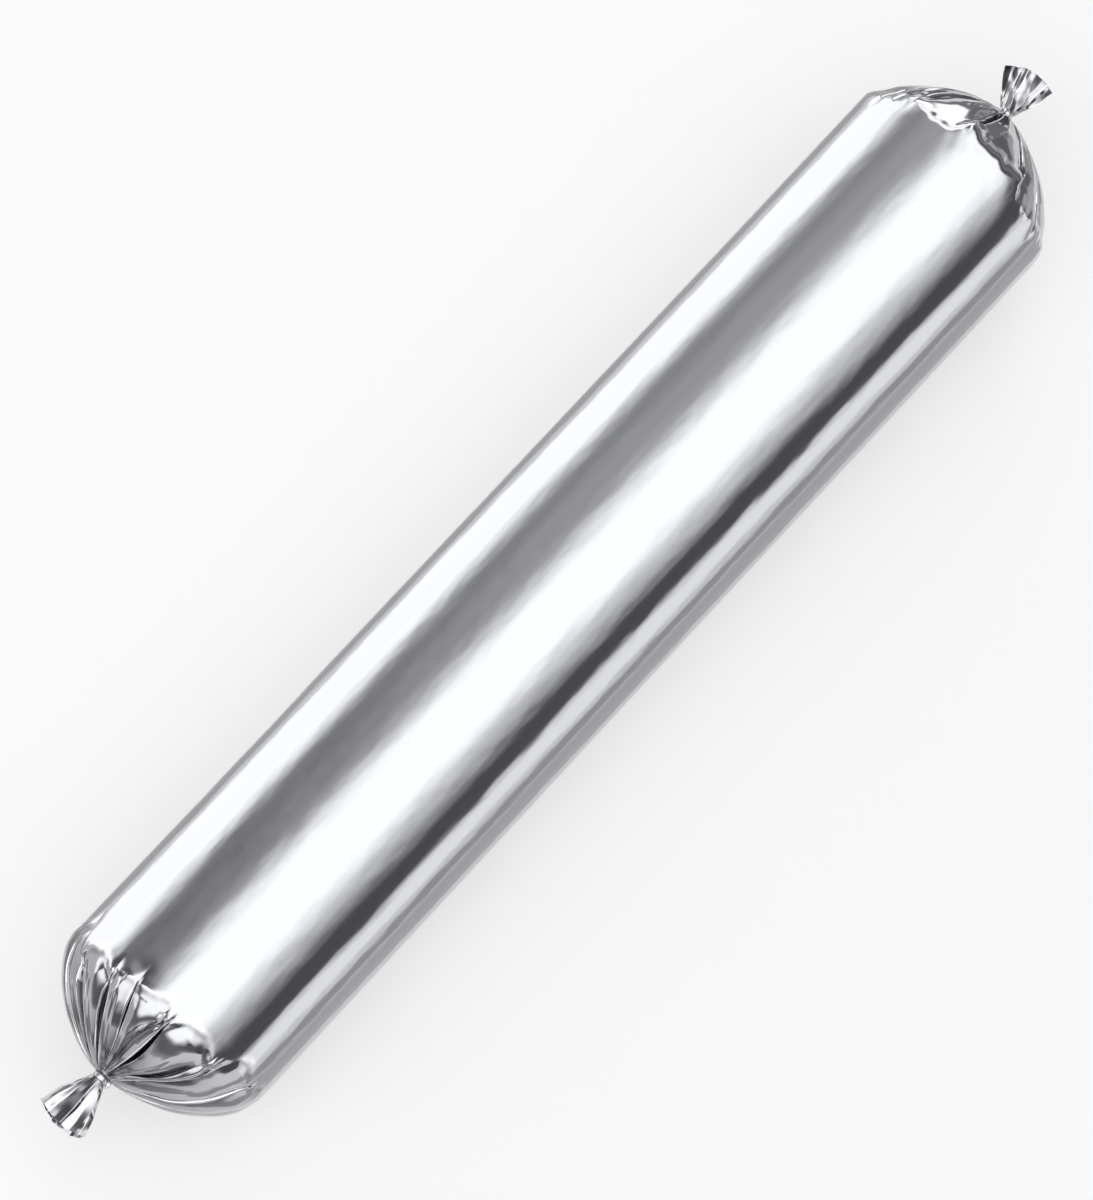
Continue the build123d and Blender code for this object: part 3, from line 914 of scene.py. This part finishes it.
def foilMaterial():
    # aluminium foil laminate, rolled: bright, faintly satin, with fine roller lines
    # along the pack, slight dents of the soft filling, painted highlights on the folds
    # and painted shade in the creases
    made, tree = newMaterial("aluminium foil laminate")
    place = addNode(tree, "ShaderNodeTexCoord")
    patches = addNode(tree, "ShaderNodeTexNoise", [("Vector", place.outputs["Object"])],
                      in_Scale=foilFinishAndPaintedLight["patchScale"], in_Detail=3.0)
    leastRough, mostRough = foilFinishAndPaintedLight["roughness"]
    rough = addNode(tree, "ShaderNodeMapRange", [("Value", patches.outputs["Fac"])],
                    in_To_Min=leastRough, in_To_Max=mostRough)
    bump = None
    for part in ("roller", "dent"):
        drawn = addNode(tree, "ShaderNodeMapping", [("Vector", place.outputs["Object"])],
                        in_Scale=(foilFinishAndPaintedLight[part + "Drawn"], 1, 1))
        noise = addNode(tree, "ShaderNodeTexNoise", [("Vector", drawn.outputs[0])],
                        in_Scale=foilFinishAndPaintedLight[part + "Scale"], in_Detail=2.0)
        strength, depth = foilFinishAndPaintedLight[part + "Bump"]
        under = [("Normal", bump.outputs[0])] if bump else []
        bump = addNode(tree, "ShaderNodeBump", [("Height", noise.outputs["Fac"])] + under,
                       in_Strength=strength, in_Distance=depth)
    # painted shade and highlight: the colour runs from painted highlight through the foil's own
    # grey to painted shade
    crease = addNode(tree, "ShaderNodeAttribute", attribute_name="paintedShadeHighlight")
    paintedTone = addNode(tree, "ShaderNodeMapRange", [("Value", crease.outputs["Fac"])],
                     in_From_Min=-1.0, in_From_Max=1.0)
    colour = addNode(tree, "ShaderNodeValToRGB", [("Fac", paintedTone.outputs[0])])
    stops = colour.color_ramp.elements
    stops[0].position, stops[0].color = 0.0, hexLinear(foilFinishAndPaintedLight["paintedHighlight"])
    stops[1].position, stops[1].color = 1.0, hexLinear(foilFinishAndPaintedLight["paintedCreaseShade"])
    stops.new(0.5).color = hexLinear(foilFinishAndPaintedLight["plain"])
    metal = addNode(tree, "ShaderNodeBsdfPrincipled",
                    [("Base Color", colour.outputs["Color"]), ("Roughness", rough.outputs[0]),
                     ("Normal", bump.outputs[0])], in_Metallic=1.0)
    addNode(tree, "ShaderNodeOutputMaterial", [("Surface", metal.outputs[0])])
    return made


foil.data.materials.append(foilMaterial())
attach(foil, "root")
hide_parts("foil_pack")

# Each clip is a pressed strip: round the neck once, its two ends bent out side by
# side and flattened into small pads. Tab angle as on the pack; splay is how far the
# ends lean apart along the neck.
clips = {
    "inner": 1.30, "thickness": 0.46, "width": 1.14, "tabReach": 2.62, "gap": 0.10,
    "pad": 1.3, "steps": 84, "around": 20, "ringPoints": 60, "tabPoints": 12,
    "tipLength": 0.30, "colour": "#E6E7EA",
    # scuffs about 1 mm apart
    "scuffScale": 900.0, "scuffBump": (0.1, 0.0001), "roughness": (0.22, 0.4),
    "near": {"node": "near_clip", "end": nearEnd, "tab": 100.0, "splay": 0.34},
    "far": {"node": "far_clip", "end": farEnd, "tab": -10.0, "splay": 0.30},
}


def clipMaterial():
    # pressed aluminium strip: duller than the foil, lightly scuffed
    made, tree = newMaterial("pressed aluminium")
    place = addNode(tree, "ShaderNodeTexCoord")
    scuff = addNode(tree, "ShaderNodeTexNoise", [("Vector", place.outputs["Object"])],
                    in_Scale=clips["scuffScale"], in_Detail=3.0)
    leastRough, mostRough = clips["roughness"]
    rough = addNode(tree, "ShaderNodeMapRange", [("Value", scuff.outputs["Fac"])],
                    in_To_Min=leastRough, in_To_Max=mostRough)
    strength, depth = clips["scuffBump"]
    bump = addNode(tree, "ShaderNodeBump", [("Height", scuff.outputs["Fac"])],
                   in_Strength=strength, in_Distance=depth)
    metal = addNode(tree, "ShaderNodeBsdfPrincipled",
                    [("Roughness", rough.outputs[0]), ("Normal", bump.outputs[0])],
                    in_Metallic=1.0, in_Base_Color=hexLinear(clips["colour"]))
    addNode(tree, "ShaderNodeOutputMaterial", [("Surface", metal.outputs[0])])
    return made


def clipPath(place):
    # middle line of the strip, as (along the neck, tab's direction, across it)
    ring = clips["inner"] + clips["thickness"] / 2
    beside = (clips["thickness"] + clips["gap"]) / 2
    opening = math.asin(beside / ring) + 0.10
    tip = []
    for out in np.linspace(clips["tabReach"], ring + 0.28, clips["tabPoints"]):
        lean = place["splay"] * (out - ring) / (clips["tabReach"] - ring)
        tip.append((lean, out, beside + 0.10 * lean))
    points = list(tip)
    for turn in np.linspace(opening, 2 * math.pi - opening, clips["ringPoints"]):
        points.append((0.0, ring * math.cos(turn), ring * math.sin(turn)))
    points = np.array(points + [(-along, out, -across) for along, out, across in tip[::-1]])
    # even steps along a slightly rounded line
    for _ in range(2):
        points[1:-1] = (points[:-2] + 2 * points[1:-1] + points[2:]) / 4
    length = np.concatenate([[0], np.cumsum(np.linalg.norm(np.diff(points, axis=0), axis=1))])
    steps = np.linspace(0, length[-1], clips["steps"])
    return np.stack([np.interp(steps, length, points[:, i]) for i in range(3)], axis=1), steps


def buildClip(place, material):
    line, steps = clipPath(place)
    tangent = np.gradient(line, axis=0)
    tangent /= np.linalg.norm(tangent, axis=1, keepdims=True)
    wide = np.array([1.0, 0, 0]) - tangent * tangent[:, :1]
    wide /= np.linalg.norm(wide, axis=1, keepdims=True)
    thick = np.cross(tangent, wide)
    toTip = np.minimum(steps, steps[-1] - steps)
    rounded = np.sqrt(np.clip(1 - (1 - np.clip(toTip / clips["tipLength"], 0, 1)) ** 2, 0, 1))
    # the strip narrows a little where its ends turn out, and ends in a pad
    pad = 1 + (clips["pad"] - 1) * smoothStep(0.8, 0.35, toTip)
    narrow = 0.86 + 0.14 * smoothStep(0.9, 1.6, toTip)
    halfWide = clips["width"] / 2 * rounded * narrow * pad
    halfThick = clips["thickness"] / 2 * rounded * pad
    bpy.ops.object.select_all(action="DESELECT")
    bpy.ops.mesh.primitive_grid_add(x_subdivisions=clips["steps"] - 1,
                                    y_subdivisions=clips["around"], size=2)
    made = bpy.context.object
    made.name = "tailClip"
    tab = math.radians(place["tab"])
    out = np.array([0, -math.sin(tab), math.cos(tab)])
    across = np.array([0, math.cos(tab), math.sin(tab)])
    centre = np.array([place["end"]["clip"], place["end"]["shift"], skin["axisHeight"]])
    for vertex in made.data.vertices:
        step = round((vertex.co.x + 1) / 2 * (clips["steps"] - 1))
        angle = (vertex.co.y + 1) * math.pi
        # a rounded strip: flatter than an ellipse
        c, s = math.cos(angle), math.sin(angle)
        flat = (abs(c) ** 3 + abs(s) ** 3) ** (-1 / 3)
        spot = (line[step] + wide[step] * halfWide[step] * c * flat
                + thick[step] * halfThick[step] * s * flat)
        vertex.co = (centre + np.array([spot[0], 0, 0]) + out * spot[1] + across * spot[2]) * mm
    bpy.ops.object.mode_set(mode="EDIT")
    bpy.ops.mesh.select_all(action="SELECT")
    bpy.ops.mesh.remove_doubles(threshold=0.000004)
    bpy.ops.mesh.normals_make_consistent(inside=False)
    bpy.ops.object.mode_set(mode="OBJECT")
    bpy.ops.object.shade_smooth()
    made.data.materials.append(material)
    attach(made, "root")
    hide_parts(place["node"])


clipMetal = clipMaterial()
for which in ("near", "far"):
    buildClip(clips[which], clipMetal)
print("clips built")
